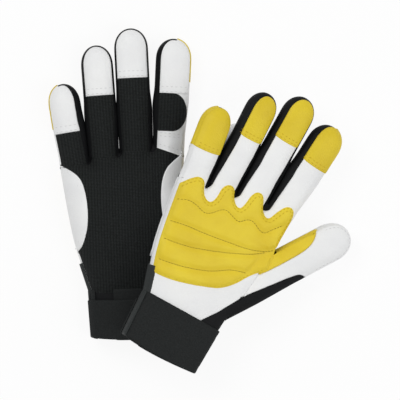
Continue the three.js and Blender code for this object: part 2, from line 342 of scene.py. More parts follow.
def look_up(side, key, points):
    grid, low = FORM[side][key], FORM[side]["low"]
    at = (np.asarray(points, float) - low) / CELL
    i = np.clip(at.astype(int), 0, np.array(grid.shape) - 2)
    a, b = np.clip((at - i).T, 0, 1)
    i, j = i.T
    return (grid[i, j] * (1 - a) + grid[i + 1, j] * a) * (1 - b) + (
        grid[i, j + 1] * (1 - a) + grid[i + 1, j + 1] * a
    ) * b


def on_form(side, face, points, lift):
    """The place and outward direction of pattern points on the palm or back, lifted off the form."""
    points = np.asarray(points, float)
    sign = 1 if face == "back" else -1
    z = look_up(side, face, points)
    slopes = []
    for shift in ((SLOPE_STEP, 0), (0, SLOPE_STEP)):
        rise = look_up(side, face, points + shift) - look_up(side, face, points - shift)
        slopes.append(rise / (2 * SLOPE_STEP))
    out = np.stack([-slopes[0], -slopes[1], np.ones(len(points))], 1) * sign
    out /= np.linalg.norm(out, axis=1)[:, None]
    place = np.column_stack([points, z]) + out * np.asarray(lift).reshape(-1, 1)
    return place, out


# %% [markdown]
# Each panel is cut from flat leather or cloth, as a glove cutter does: its outline becomes one face, narrow
# rings are inset along the edge, and straight cuts slice the rest into small cells that can bend. Then the
# cells are laid on the form and given a wall. The rings let the edge roll down like a folded seam.

# %% Cut and lay a panel
PITCH = 2.0
RINGS = (0.25, 0.35, 0.5)
EDGE_STEP = 1.5
SHARP = math.radians(55)  # an edge that bends more than this stays sharp


def cut_panel(outline, pitch=PITCH, rings=RINGS):
    outline = even(outline, EDGE_STEP, True)  # a short edge would turn over when the rings are inset
    sheet = bmesh.new()
    corners = [sheet.verts.new((x, y, 0)) for x, y in outline]
    face = sheet.faces.new(corners)
    sheet.normal_update()
    if face.normal.z < 0:
        face.normal_flip()
    for width in rings:
        bmesh.ops.inset_region(sheet, faces=[face], thickness=width, use_even_offset=False, use_boundary=True)
    low, high = np.min(outline, axis=0), np.max(outline, axis=0)
    for axis in (0, 1):
        direction = (1, 0, 0) if axis == 0 else (0, 1, 0)
        cuts = np.arange(low[axis] + pitch / 2, high[axis], pitch)
        for cut in cuts:
            place = [0.0, 0.0, 0.0]
            place[axis] = cut
            everything = sheet.verts[:] + sheet.edges[:] + sheet.faces[:]
            bmesh.ops.bisect_plane(sheet, geom=everything, dist=0.02, plane_co=place, plane_no=direction)
    return sheet


def roll(e, radius=1.15):
    """How much of its lift an edge has: 0 at the very edge, rising like a folded seam to 1."""
    return np.sqrt(1 - (1 - np.clip(e / radius, 0, 1)) ** 2)


# %% [markdown]
# A laid panel is still a sheet. Pushing a copy of it inwards gives it the thickness of leather or cloth, and
# then it is told which body carries it, or, when it is given a blend, left where it lies on no body.


# %% Make a piece of a finished mesh
def add_piece(sheet, name, material, body, wall=0.0, outward=None, blend=None, replaced=(), slot=None):
    """Turns a laid sheet into an object that rides on its body, or, given a blend, stays where it lies on no
    body. wall is its thickness in mm.
    """
    if outward is not None:
        sheet.normal_update()
        agreement = sum(f.normal.dot(outward(f.calc_center_median())) for f in sheet.faces)
        if agreement < 0:
            bmesh.ops.reverse_faces(sheet, faces=sheet.faces[:])
    if wall:
        sheet.normal_update()
        inner = bmesh.ops.extrude_face_region(sheet, geom=sheet.faces[:], use_keep_orig=True)
        inner = [item for item in inner["geom"] if isinstance(item, bmesh.types.BMVert)]
        inward = [vertex.normal.copy() for vertex in inner]
        for vertex, direction in zip(inner, inward):
            vertex.co -= direction * (wall / 1000)
        bmesh.ops.recalc_face_normals(sheet, faces=sheet.faces[:])
    for edge in sheet.edges:
        edge.smooth = edge.calc_face_angle(0) < SHARP
    mesh = bpy.data.meshes.new(name)
    sheet.to_mesh(mesh)
    sheet.free()
    for polygon in mesh.polygons:
        polygon.use_smooth = True
    piece = bpy.data.objects.new(name, mesh)
    scene.collection.objects.link(piece)
    mesh.materials.append(material)
    if blend:
        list(blend)
        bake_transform(piece)
    else:
        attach(piece, body)
    if replaced:
        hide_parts(*replaced)
    return piece


def lay(sheet, side, face, lift, edge, stall=None):
    """Lays a cut panel on the form. lift(points, e) is its height, and e is the distance to edge."""
    points = np.array([v.co.xy for v in sheet.verts])
    e = distance(points, edge) if isinstance(edge, np.ndarray) else np.min(
        [distance(points, line) for line in edge], axis=0
    )
    place = on_form(side, face, points, lift(points, e))[0]
    world = to_world(side, place)
    pattern = sheet.loops.layers.uv.new("pattern")
    flat = in_stall(stall, points) if stall else points
    for vertex, xyz in zip(sheet.verts, world):
        vertex.co = xyz
    for f in sheet.faces:
        for loop in f.loops:
            loop[pattern].uv = flat[loop.vert.index] / 1000
    axis = Vector(SIDES[side]["axes"][2] * (1 if face == "back" else -1))
    return lambda centre: axis


def closed_line(points):
    return np.vstack([points, points[:1]])


def sew_panel(side, face, outline, lift, edge, name, finish, body, wall, stall=None, blend=None, **kept):
    """Cuts a panel, lays it on the form and makes a piece of it. kept names what it replaces, and its slot,
    which is not used.
    """
    sheet = cut_panel(outline)
    up = lay(sheet, side, face, lift, edge, stall)
    return add_piece(sheet, name, finish, body, wall, up, blend, **kept)


# %% [markdown]
# Finishes. Leather has a fine pebbled grain with soft cloudy patches, so one group makes both and every
# leather sets its own colour. Knit is columns of loops with a rung at each course, which follow the panel,
# so they read the flat pattern that was kept as the panel's UV map. Its colour is painted lighter on the
# raised loops and rungs, a painted highlight, and darker in the grooves, painted shade.

# %% Node groups
def group_with(name, inputs, outputs):
    group = bpy.data.node_groups.new(name, "ShaderNodeTree")
    for label, kind, value in inputs:
        socket = group.interface.new_socket(label, in_out="INPUT", socket_type=kind)
        socket.default_value = value
    for label, kind in outputs:
        group.interface.new_socket(label, in_out="OUTPUT", socket_type=kind)
    return group, group.nodes.new("NodeGroupInput"), group.nodes.new("NodeGroupOutput")


def node(tree, kind, links=(), **values):
    made = tree.nodes.new(kind)
    for key, value in values.items():
        setattr(made, key, value)
    for source, socket in links:
        if isinstance(source, (int, float, tuple)):
            made.inputs[socket].default_value = source
        else:
            tree.links.new(source, made.inputs[socket])
    return made


def mixed(tree, factor, first, second):
    """One colour blended into another. A colour mix has its own sockets: 0, 6 and 7 in, 2 out."""
    return node(tree, "ShaderNodeMix", [(factor, 0), (first, 6), (second, 7)], data_type="RGBA").outputs[2]


def leather_group():
    group, given, out = group_with(
        "leather_grain",
        [
            ("Colour", "NodeSocketColor", (1, 1, 1, 1)), ("Shade", "NodeSocketColor", (1, 1, 1, 1)),
            ("Grain", "NodeSocketFloat", 0.3), ("Sheen", "NodeSocketFloat", 0.55)
        ],
        [("Colour", "NodeSocketColor"), ("Roughness", "NodeSocketFloat"), ("Normal", "NodeSocketVector")],
    )
    place = node(group, "ShaderNodeTexCoord").outputs["Object"]
    clouds = node(group, "ShaderNodeTexNoise", [(place, "Vector"), (38.0, "Scale"), (3.0, "Detail")])
    pebbles = node(group, "ShaderNodeTexVoronoi", [(place, "Vector"), (900.0, "Scale")], feature="SMOOTH_F1")
    creases = node(
        group, "ShaderNodeTexNoise",
        [(place, "Vector"), (210.0, "Scale"), (6.0, "Detail"), (0.62, "Roughness")]
    )
    mask = node(
        group, "ShaderNodeMapRange",
        [(clouds.outputs["Fac"], "Value"), (0.34, "From Min"), (0.68, "From Max")]
    )
    mix = mixed(group, mask.outputs["Result"], given.outputs["Colour"], given.outputs["Shade"])
    fine = node(group, "ShaderNodeMath", [(pebbles.outputs["Distance"], 0), (0.5, 1)], operation="MULTIPLY")
    height = node(
        group, "ShaderNodeMath", [(fine.outputs[0], 0), (creases.outputs["Fac"], 1)], operation="ADD"
    )
    bump = node(
        group, "ShaderNodeBump",
        [(height.outputs[0], "Height"), (given.outputs["Grain"], "Strength"), (0.0006, "Distance")]
    )
    rough = node(
        group, "ShaderNodeMath", [(creases.outputs["Fac"], 0), (0.16, 1), (given.outputs["Sheen"], 2)],
        operation="MULTIPLY_ADD"
    )
    group.links.new(mix, out.inputs["Colour"])
    group.links.new(rough.outputs[0], out.inputs["Roughness"])
    group.links.new(bump.outputs["Normal"], out.inputs["Normal"])
    return group


def knit_group():
    group, given, out = group_with(
        "rib_knit",
        [
            ("Dark", "NodeSocketColor", (0, 0, 0, 1)), ("Light", "NodeSocketColor", (0.05, 0.05, 0.05, 1)),
            ("Column", "NodeSocketFloat", 0.0022), ("Course", "NodeSocketFloat", 0.0011),
            ("Depth", "NodeSocketFloat", 0.6)
        ],
        [("Colour", "NodeSocketColor"), ("Normal", "NodeSocketVector")],
    )
    uv = node(group, "ShaderNodeUVMap", uv_map="pattern").outputs["UV"]
    parts = node(group, "ShaderNodeSeparateXYZ", [(uv, "Vector")])
    waves = []
    for axis, size in (("X", "Column"), ("Y", "Course")):
        count = node(
            group, "ShaderNodeMath", [(parts.outputs[axis], 0), (given.outputs[size], 1)], operation="DIVIDE"
        )
        turn = node(group, "ShaderNodeMath", [(count.outputs[0], 0), (math.pi, 1)], operation="MULTIPLY")
        wave = node(group, "ShaderNodeMath", [(turn.outputs[0], 0)], operation="SINE")
        waves.append(node(group, "ShaderNodeMath", [(wave.outputs[0], 0)], operation="ABSOLUTE").outputs[0])
    rung = node(group, "ShaderNodeMath", [(waves[1], 0), (0.65, 1), (0.35, 2)], operation="MULTIPLY_ADD")
    loops = node(group, "ShaderNodeMath", [(waves[0], 0), (0.55, 1), (0.45, 2)], operation="MULTIPLY_ADD")
    height = node(
        group, "ShaderNodeMath", [(loops.outputs[0], 0), (rung.outputs[0], 1)], operation="MULTIPLY"
    )
    fuzz = node(
        group, "ShaderNodeTexNoise",
        [(node(group, "ShaderNodeTexCoord").outputs["Object"], "Vector"), (1400.0, "Scale")]
    )
    # The colour follows the loops' height: raised loops and rungs get the Light colour, a painted highlight,
    # and the grooves the Dark colour, painted shade, broken up by random fuzz.
    lit = node(
        group, "ShaderNodeMath", [(height.outputs[0], 0), (fuzz.outputs["Fac"], 1)], operation="MULTIPLY"
    )
    spread = node(
        group, "ShaderNodeMapRange", [(lit.outputs[0], "Value"), (0.08, "From Min"), (0.5, "From Max")]
    )
    mix = mixed(group, spread.outputs["Result"], given.outputs["Dark"], given.outputs["Light"])
    bump = node(
        group, "ShaderNodeBump",
        [(height.outputs[0], "Height"), (given.outputs["Depth"], "Strength"), (0.0007, "Distance")]
    )
    group.links.new(mix, out.inputs["Colour"])
    group.links.new(bump.outputs["Normal"], out.inputs["Normal"])
    return group


def cloth_group():
    group, given, out = group_with(
        "fine_cloth",
        [
            ("Dark", "NodeSocketColor", (0, 0, 0, 1)), ("Light", "NodeSocketColor", (0.05, 0.05, 0.05, 1)),
            ("Scale", "NodeSocketFloat", 900.0), ("Depth", "NodeSocketFloat", 0.3)
        ],
        [("Colour", "NodeSocketColor"), ("Normal", "NodeSocketVector")],
    )
    place = node(group, "ShaderNodeTexCoord").outputs["Object"]
    grain = node(
        group, "ShaderNodeTexNoise", [(place, "Vector"), (given.outputs["Scale"], "Scale"), (4.0, "Detail")]
    )
    spread = node(
        group, "ShaderNodeMapRange", [(grain.outputs["Fac"], "Value"), (0.3, "From Min"), (0.72, "From Max")]
    )
    mix = mixed(group, spread.outputs["Result"], given.outputs["Dark"], given.outputs["Light"])
    bump = node(
        group, "ShaderNodeBump",
        [(grain.outputs["Fac"], "Height"), (given.outputs["Depth"], "Strength"), (0.0005, "Distance")]
    )
    group.links.new(mix, out.inputs["Colour"])
    group.links.new(bump.outputs["Normal"], out.inputs["Normal"])
    return group


LEATHER, KNIT, CLOTH = leather_group(), knit_group(), cloth_group()


# %% [markdown]
# Each finish is one material: an effect from the groups above, and the constants on the shader's sockets.


# %% Materials
def material(name, group, roughness=None, sheen=0.0, **values):
    made = bpy.data.materials.new(name)
    made.use_nodes = True
    tree = made.node_tree
    shader = tree.nodes["Principled BSDF"]
    effect = tree.nodes.new("ShaderNodeGroup")
    effect.node_tree = group
    for key, value in values.items():
        effect.inputs[key].default_value = (*value, 1) if isinstance(value, tuple) else value
    tree.links.new(effect.outputs["Colour"], shader.inputs["Base Color"])
    tree.links.new(effect.outputs["Normal"], shader.inputs["Normal"])
    if roughness is None:
        tree.links.new(effect.outputs["Roughness"], shader.inputs["Roughness"])
    else:
        shader.inputs["Roughness"].default_value = roughness
    shader.inputs["Sheen Weight"].default_value = sheen
    shader.inputs["Specular IOR Level"].default_value = 0.35 if group is LEATHER else 0.16
    return made


WHITE = material(
    "white_leather", LEATHER, Colour=(0.88, 0.885, 0.88), Shade=(0.83, 0.835, 0.84), Grain=0.45, Sheen=0.46
)
YELLOW = material(
    "yellow_leather", LEATHER, Colour=(0.81, 0.625, 0.032), Shade=(0.745, 0.55, 0.024), Grain=0.5, Sheen=0.48
)
TIP_YELLOW = material(
    "yellow_tip_leather", LEATHER, Colour=(0.765, 0.585, 0.024), Shade=(0.69, 0.51, 0.018), Grain=0.5,
    Sheen=0.48
)
# Light is the knit's painted highlight on its raised loops and rungs, and Dark its painted shade in the
# grooves.
BLACK_KNIT = material(
    "black_rib_knit", KNIT, 0.78, 0.02, Dark=(0.0016, 0.002, 0.0019), Light=(0.021, 0.024, 0.0235), Depth=0.8
)
STRETCH = material(
    "black_stretch_cloth", CLOTH, 0.66, 0.0, Dark=(0.003, 0.0035, 0.004), Light=(0.008, 0.0085, 0.0095),
    Scale=1500.0, Depth=0.15
)
NEOPRENE = material(
    "charcoal_neoprene", CLOTH, 0.68, 0.0, Dark=(0.009, 0.0105, 0.0105), Light=(0.018, 0.02, 0.02),
    Scale=1100.0, Depth=0.3
)
BINDING = material(
    "grey_binding", CLOTH, 0.6, 0.02, Dark=(0.02, 0.023, 0.023), Light=(0.036, 0.04, 0.04), Scale=1300.0,
    Depth=0.3
)
PILE = material(
    "hook_and_loop_pile", CLOTH, 0.9, 0.1, Dark=(0.006, 0.006, 0.007), Light=(0.03, 0.03, 0.032),
    Scale=2200.0, Depth=1.0
)
THREADS = {
    "white": material(
        "white_thread", CLOTH, 0.7, Dark=(0.6, 0.6, 0.6), Light=(0.74, 0.74, 0.74), Scale=3000.0
    ),
    "yellow": material(
        "yellow_thread", CLOTH, 0.7, Dark=(0.5, 0.33, 0.01), Light=(0.62, 0.43, 0.02), Scale=3000.0
    ),
    # The quilting thread is a real seam, but its dark ochre colour also paints the shade in the channel
    # grooves.
    "ochre_and_groove_shade": material(
        "ochre_and_groove_shade_thread", CLOTH, 0.8, Dark=(0.2, 0.13, 0.006), Light=(0.3, 0.2, 0.01), Scale=3000.0
    ),
}

# %% [markdown]
# The strip along the side of a finger is a fourchette. It stands upright between the palm and back panels,
# so it is laid by the angle round the edge of the form instead of from above: from its foot on the palm,
# over the widest line, to its top on the back.


# %% Strips round the edge of the form
RIM_STEP = 1.4
RIM_COLUMNS = 10
RIM_PATTERN = (0.0016, 0.0014)  # metres of flat pattern for each row and column of a strip
SWELL_ANGLE = 34  # a puffed strip is flat again this many degrees from its middle


def on_rim(side, run, angles, lift):
    """Places on the form's rounded edge along a clockwise run: rows of points, one row for each run point."""
    ahead = np.gradient(run, axis=0)
    ahead /= np.linalg.norm(ahead, axis=1)[:, None]
    inward = np.stack([ahead[:, 1], -ahead[:, 0]], 1)
    rows, outs = [], []
    for phi in np.radians(angles):
        plan = run.copy()
        for _ in range(2):
            low, middle, top, round_palm, round_back = levels(side, plan[:, 0], plan[:, 1])
            radius = round_palm if phi < 0 else round_back
            plan = run + inward * (radius * (1 - math.cos(phi)))[:, None]
        height = (middle - low) if phi < 0 else (top - middle)
        out = np.column_stack([-inward * math.cos(phi), np.full(len(run), math.sin(phi))])
        z = middle + height * math.sin(phi)
        rows.append(np.column_stack([plan, z]))
        outs.append(out)
    rows, outs = np.array(rows), np.array(outs)
    return rows + outs * np.asarray(lift)[:, None, None], outs


def rim_strip(
    side, run, low_angle, high_angle, name, finish, body, lift=-0.15, wall=0.8, blend=None,
    replaced=(), slot=None, thick=0.0, swell=None
):
    """A strip between two angles round the form's edge. swell(run) is how far its middle puffs out."""
    run = even(run, RIM_STEP)
    for _ in range(2):
        run[1:-1] = run[1:-1] * 0.5 + (run[:-2] + run[2:]) * 0.25
    angles = np.linspace(low_angle, high_angle, RIM_COLUMNS + 1)
    share = np.linspace(0, 1, RIM_COLUMNS + 1)
    edge = np.minimum(share, 1 - share) * (high_angle - low_angle) * 0.2
    lifts = lift + thick * roll(edge, 1.3)
    places, outs = on_rim(side, run, angles, lifts)
    if swell is not None:
        fullness = np.clip(1 - (angles / SWELL_ANGLE) ** 2, 0, 1)
        places = places + outs * (swell(run)[None, :] * fullness[:, None])[..., None]
    sheet = bmesh.new()
    bmesh.ops.create_grid(sheet, x_segments=len(run) - 1, y_segments=RIM_COLUMNS, size=1)
    pattern = sheet.loops.layers.uv.new("pattern")
    sheet.verts.ensure_lookup_table()
    flat = {}
    for vertex in sheet.verts:
        i = round((vertex.co.x + 1) / 2 * (len(run) - 1))
        j = round((vertex.co.y + 1) / 2 * RIM_COLUMNS)
        flat[vertex.index] = (j * RIM_PATTERN[0], i * RIM_PATTERN[1])
        vertex.co = to_world(side, places[j, i])
    for face in sheet.faces:
        for loop in face.loops:
            loop[pattern].uv = flat[loop.vert.index]
    sheet.normal_update()
    sign = 0.0
    out_world = outs @ SIDES[side]["axes"]
    # The grid keeps its order, so a vertex's own outward direction tells which way its face should look.
    for face in list(sheet.faces)[:: max(1, len(sheet.faces) // 60)]:
        corner = face.verts[0]
        j, i = (round(flat[corner.index][k] / RIM_PATTERN[k]) for k in (0, 1))
        sign += face.normal.dot(Vector(out_world[j, i]))
    if sign < 0:
        bmesh.ops.reverse_faces(sheet, faces=sheet.faces[:])
    return add_piece(sheet, name, finish, body, wall, None, blend, replaced, slot)


# %% [markdown]
# Stitches are short threads that dip at both ends. Each is a small stretched ball, laid end to end along a
# seam line, and all the stitches of one seam are one piece, so that they move with their panel.


# %% Stitches
STITCH_LENGTH, STITCH_WIDTH = 2.1, 0.42


def stitch(side, face, lines, name, thread, body, lift, blend=None, gap=0.9):
    seam = bmesh.new()
    for line in lines:
        line = even(line, (STITCH_LENGTH + gap) / 2)
        middles, ends = line[1:-1:2], np.array([line[0:-2:2], line[2::2][: len(line[1:-1:2])]])
        heights = lift(middles) if callable(lift) else np.full(len(middles), lift)
        place, out = on_form(side, face, middles, heights)
        place, out = to_world(side, place), out @ SIDES[side]["axes"]
        flat = np.column_stack([ends[1] - ends[0], np.zeros(len(middles))]) @ SIDES[side]["axes"]
        for centre, up, along in zip(place, out, flat):
            z = Vector(up).normalized()
            x = Vector(along)
            x = (x - z * x.dot(z)).normalized()
            turn = Matrix((x, z.cross(x), z)).transposed().to_4x4()
            size = Matrix.Diagonal((STITCH_LENGTH / 2000, STITCH_WIDTH / 2000, STITCH_WIDTH / 2600, 1))
            bmesh.ops.create_uvsphere(
                seam, u_segments=6, v_segments=4, radius=1, matrix=Matrix.Translation(centre) @ turn @ size
            )
    return add_piece(seam, name, THREADS[thread], body, blend=blend)


# %% [markdown]
# The fingers. On each, the white leather front and the black knit back are laid first. Then the fourchettes
# close the sides, the yellow patch goes over the fingertip in front, and the white cap over it behind. All
# of them are given a blend across the knuckle, but stay where they lie, on no body.

# %% Sizes of a finger's pieces
FRONT_INSET = {"little": (0.9, 2.2), "ring": (4.6, 2.6), "middle": (3.8, 3.0), "index": (4.0, 0.9)}
FRONT_TIP = {"little": 0.9, "ring": 2.8, "middle": 2.2, "index": 1.0}
BACK_INSET = {"little": (0.9, 4.6), "ring": (2.4, 1.7), "middle": (1.9, 1.7), "index": (4.2, 0.9)}
CAP_START = {"little": 37.5, "ring": 38.5, "middle": 38, "index": 42}
PATCH_START = {"little": 34, "ring": 37, "middle": 36.5, "index": 33.5}
INDEX_SLANT = 6.0  # the white band across the index knuckle slants down towards the thumb
UNDER, TUCK = 1.2, 0.15  # how far a finger's panels reach under the hand's, and how much lower they lie there
OVERLAP = 3  # how far a front or back reaches under the patch or cap of its tip
SIDE_END = 8  # points of a panel's outline that belong to its end and not to its side
PATCH_BOW = 1.3
PATCH_ROWS, CAP_ROWS = (1.8, 4.2), (1.6, 5.4)  # the two rows of stitches, from the edge of the patch or cap
FINGER_WALL, TOP_WALL = 0.7, 0.9  # thickness of the lower and upper layer
BASE_LIFT, BASE_ROLL = -0.6, 1.0
TOP_LIFT, TOP_ROLL = -0.3, 1.4
STITCH_LIFT = TOP_LIFT + TOP_ROLL + 0.02
FREE_SIDE = ("little", "index")  # these have no neighbour on one side
PUFF, WIDE_PUFF = 0.8, 1.3  # between the middle and index fingers the gap is wider


def finger_blend(side, name):
    stall = STALLS[side][name]
    hinge = np.array([*stall["root"], 9.0])
    along = np.array([*stall["along"], 0.0])
    start, end = to_world(side, hinge - along * 7), to_world(side, hinge + along * 11)
    return (f"{side}_hand", f"{side}_{name}", tuple(start), tuple(end))


def base_lift(points, e):
    return BASE_LIFT + BASE_ROLL * roll(e)


def tucked_lift(stall, low):
    """A finger's own panel starts a little way under the hand's panel."""

    def lift(points, e):
        clear = smoothstep(0, UNDER + 0.6, in_stall(stall, points)[:, 1] - low)
        return base_lift(points, e) - TUCK * (1 - clear)

    return lift


def top_lift(points, e):
    return TOP_LIFT + TOP_ROLL * roll(e)


def side_lines(polygon):
    """The two long sides of a panel whose first and last points are at its lower end."""
    cut = max(2, len(polygon) // 2 - SIDE_END)
    return [polygon[:cut], polygon[-cut:]]


def patch_bow(stall, x):
    """The fingertip patch's lower edge bows towards the palm."""
    return PATCH_BOW * (1 - (x / stall["half"]) ** 2)


# %% [markdown]
# A finger's front: the white leather, then the yellow patch over its tip, held by two rows of stitches.


# %% Sew a finger's front
def sew_front(side, name, body, blend):
    stall = STALLS[side][name]
    low, patch = CREASE[name] - UNDER, stall["length"] - PATCH_START[name]
    outline = stall_outline(stall, low, low, (*FRONT_INSET[name], 2), patch + OVERLAP)
    rims = [in_glove(stall, line) for line in side_lines(outline)]
    sew_panel(
        side, "palm", in_glove(stall, outline), tucked_lift(stall, low), rims, f"{body}_front_leather", WHITE,
        body, FINGER_WALL, stall, blend, replaced=[f"{body}_front"], slot="white_leather"
    )

    insets = [max(0.9, inset - 0.3) for inset in FRONT_INSET[name]]
    outline = stall_outline(stall, patch, patch, (*insets, FRONT_TIP[name]))
    closing = np.stack([np.linspace(outline[-1, 0], outline[0, 0], 12)[1:-1], np.full(10, patch)], 1)
    closing[:, 1] -= patch_bow(stall, closing[:, 0])
    flat = in_glove(stall, np.vstack([outline, closing]))
    sew_panel(
        side, "palm", flat, top_lift, closed_line(flat), f"{body}_tip_patch_leather", TIP_YELLOW, body,
        TOP_WALL, stall, blend, replaced=[f"{body}_tip_patch"], slot="yellow_leather"
    )
    rows = []
    for step in PATCH_ROWS:
        x = np.linspace(-stall["half"] + 3, stall["half"] - 3, 12)
        rows.append(in_glove(stall, np.stack([x, patch - patch_bow(stall, x) + step], 1)))
    stitch(side, "palm", rows, f"{body}_tip_patch_stitches", "yellow", body, STITCH_LIFT, blend)


# %% [markdown]
# A finger's back is knit, except the index finger's, which is white leather with a knit half-oval over the
# knuckle. A white cap with two rows of stitches closes the tip.


# %% Sew a finger's back
def sew_back(side, name, body, blend):
    stall = STALLS[side][name]
    low, cap = CREASE[name] - UNDER, stall["length"] - CAP_START[name]
    low_right = low - (INDEX_SLANT if name == "index" else 0)
    outline = stall_outline(stall, low, low_right, (*BACK_INSET[name], 2), cap + OVERLAP)
    rims = [in_glove(stall, line) for line in side_lines(outline)]
    finish, slot = (WHITE, "white_leather") if name == "index" else (BLACK_KNIT, "black_knit")
    sew_panel(
        side, "back", in_glove(stall, outline), tucked_lift(stall, low), rims, f"{body}_back_cloth", finish,
        body, FINGER_WALL, stall, blend, replaced=[f"{body}_back"], slot=slot
    )

    flat = in_glove(stall, stall_outline(stall, cap, cap, (*BACK_INSET[name], 1.7)))
    sew_panel(
        side, "back", flat, top_lift, closed_line(flat), f"{body}_tip_cap_leather", WHITE, body, TOP_WALL,
        stall, blend, replaced=[f"{body}_tip_cap"], slot="white_leather"
    )
    left, right = -stall["half"] + BACK_INSET[name][0] + 1, stall["half"] - BACK_INSET[name][1] - 1
    rows = [in_glove(stall, np.array([(left, cap + step), (right, cap + step)])) for step in CAP_ROWS]
    stitch(side, "back", rows, f"{body}_tip_cap_stitches", "white", body, STITCH_LIFT, blend)


def knuckle_patch(side):
    """The index finger's black knit half-oval, sewn on to its white back."""
    stall = STALLS[side]["index"]
    body, blend = f"{side}_index", finger_blend(side, "index")
    left = -stall["half"] + BACK_INSET["index"][0] + 0.1
    top, bottom = stall["length"] - CAP_START["index"] + 0.8, 3.0
    reach = stall["half"] - 1.4
    turn = np.radians(np.linspace(90, -90, 26))
    middle, half = (top + bottom) / 2, (top - bottom) / 2
    bulge = np.stack([reach - 11 + 11 * np.cos(turn) ** 0.9, middle + half * np.sin(turn)], 1)
    outline = np.vstack([[(left, top)], bulge, [(left, bottom)]])
    flat = in_glove(stall, even(outline, 1.0, True))
    sew_panel(
        side, "back", flat, lambda p, e: 0.2 + 0.8 * roll(e, 0.8), closed_line(flat),
        f"{side}_index_knuckle_knit", BLACK_KNIT, body, 0.5, stall, blend, slot="black_knit"
    )
    rows = [
        in_glove(stall, np.array([(left + 1, y), (reach - 2, y - 1)])) for y in (bottom - 1.2, bottom - 3.6)
    ]
    rows.append(in_glove(stall, np.array([(left + 1, -6.8), (reach - 1, -11.6)])))
    stitch(
        side, "back", rows, f"{side}_index_back_stitches", "white", body, BASE_LIFT + BASE_ROLL + 0.05, blend
    )


# %% [markdown]
# A finger's sides. Black stretch cloth stands between two fingers and puffs out where they nearly touch. The
# free side of the index and little fingers is leather instead, white below and yellow round the tip.


# %% Sew a finger's sides
def puff_of(stall):
    wide_side = {"middle": 1, "index": -1}.get(stall["name"], 0)

    def swell(points):
        x, y = in_stall(stall, points).T
        most = np.where(x * wide_side > 0, WIDE_PUFF, PUFF)
        return most * smoothstep(-13, -7, y) * (1 - smoothstep(20, 38, y))

    return swell


def sew_sides(side, name, body, blend):
    stall = STALLS[side][name]
    run = even(finger_run(side, name), 0.7)
    tip = int(np.argmax((run - stall["root"]) @ stall["along"]))
    between = {"little": run[tip - 6 :], "index": run[: tip + 6]}.get(name, run)
    angles = (-60, 66) if name in FREE_SIDE else (-62, 60)
    rim_strip(
        side, between, *angles, f"{body}_fourchette_cloth", STRETCH, body, swell=puff_of(stall), blend=blend,
        replaced=[f"{body}_fourchette"], slot="black_spandex"
    )
    if name in FREE_SIDE:
        free = run[: tip - 4] if name == "little" else run[tip + 4 :]
        rim_strip(
            side, free, -48, 46, f"{body}_outer_side_leather", WHITE, body, lift=0.05, blend=blend,
            slot="white_leather"
        )
        patch = stall["length"] - PATCH_START[name]
        free_tip = free[in_stall(stall, free)[:, 1] > patch + 0.5]
        rim_strip(
            side, free_tip, -48, 14, f"{body}_tip_side_leather", TIP_YELLOW, body, lift=0.3, thick=0.25,
            blend=blend, slot="yellow_leather"
        )


def sew_finger(side, name):
    body, blend = f"{side}_{name}", finger_blend(side, name)
    for sew in (sew_front, sew_back, sew_sides):
        sew(side, name, body, blend)


for side in SIDES:
    for name in FINGERS:
        sew_finger(side, name)
    knuckle_patch(side)
    print(side, "fingers sewn")


# %% [markdown]
# The hand. The white palm leather ends at the finger roots with a small round notch between two fingers, and
# at the thumb's base line. The knit back has white leather crescents sewn over its two sides. The padded
# patch lies on the palm leather: channels are quilted across it and four lobes reach up below the fingers.

# %% Shapes on the hand
# Each line runs through a few points of the left glove's pattern, in its flat frame.
LOBES = [
    (-49.6, 81.2), (-43.4, 91.5), (-37.8, 96.2), (-31.7, 94.2), (-28, 84.4), (-21.4, 81.4), (-18.5, 87),
    (-19, 97.3), (-14.6, 102.2), (-8.2, 100.6), (-4, 91.1), (1.2, 88.6), (3.2, 93.7), (4, 103.6),
    (7.6, 107.8), (13.1, 107.1), (19.5, 95.3), (24.9, 92.2), (27.6, 99.5), (31.4, 108), (37.2, 109.9),
    (40.9, 106.5), (42.9, 99.4), (41.4, 76),
]
PATCH_FOOT = [
    (44, 58), (38.1, 53.4), (32.9, 47), (27.3, 37.9), (19.3, 29.4), (12.9, 25.8), (-4.4, 19.6), (-22.4, 14.8),
    (-37.5, 14.3)
]
PATCH_EDGE = [(-41.5, 25), (-43.8, 42), (-46.5, 60), (-48.3, 78)]
CHANNELS = [
    [
        (-46, 54.6), (-42.6, 55), (-29.2, 57.7), (-13, 59.3), (7.6, 62.5), (23.1, 65.2), (35.8, 70.2),
        (40, 73.5)
    ],
    [(-43.6, 40.4), (-40.1, 41), (-22.2, 43.5), (-7.6, 48.2), (11, 55.6), (24.8, 61.8), (35.9, 69.8)],
    [(-41, 24.8), (-36.8, 25.3), (-20.1, 27.8), (-0.5, 33.9), (8.4, 38.6), (18.5, 45.5), (30.5, 48.5)],
]
SCALLOP = [
    (-47.6, 70.5), (-44.2, 72), (-38.1, 75.6), (-31.3, 75.7), (-23.2, 73), (-18.9, 73.5), (-15, 76.8),
    (-12.3, 80.5), (-7.9, 83.1), (-2.9, 82), (2.8, 79.7), (6.3, 80.4), (8.8, 83.3), (13.1, 86), (17.7, 84.7),
    (23.1, 81.8), (27.2, 81.5), (30.3, 85.5), (37, 94.8),
]
KNIT_LEFT = [(-38.5, 27), (-33.9, 31.5), (-29, 48), (-29.9, 68.4), (-34.6, 82.8), (-48.6, 91)]
KNIT_RIGHT = [
    (42.0, 96.5), (35.5, 91.6), (29.3, 85.6), (25.9, 75.5), (25, 62.8), (26, 50), (30, 35), (33, 22),
    (31.6, 12)
]
THUMB_EDGE = [(30, -3), (31, 6), (40.2, 76), (41.2, 86), (42.0, 100)]
GUSSET_EDGE = [(15, -3), (16.5, 0.2), (25.1, 11.6), (36.3, 31)]
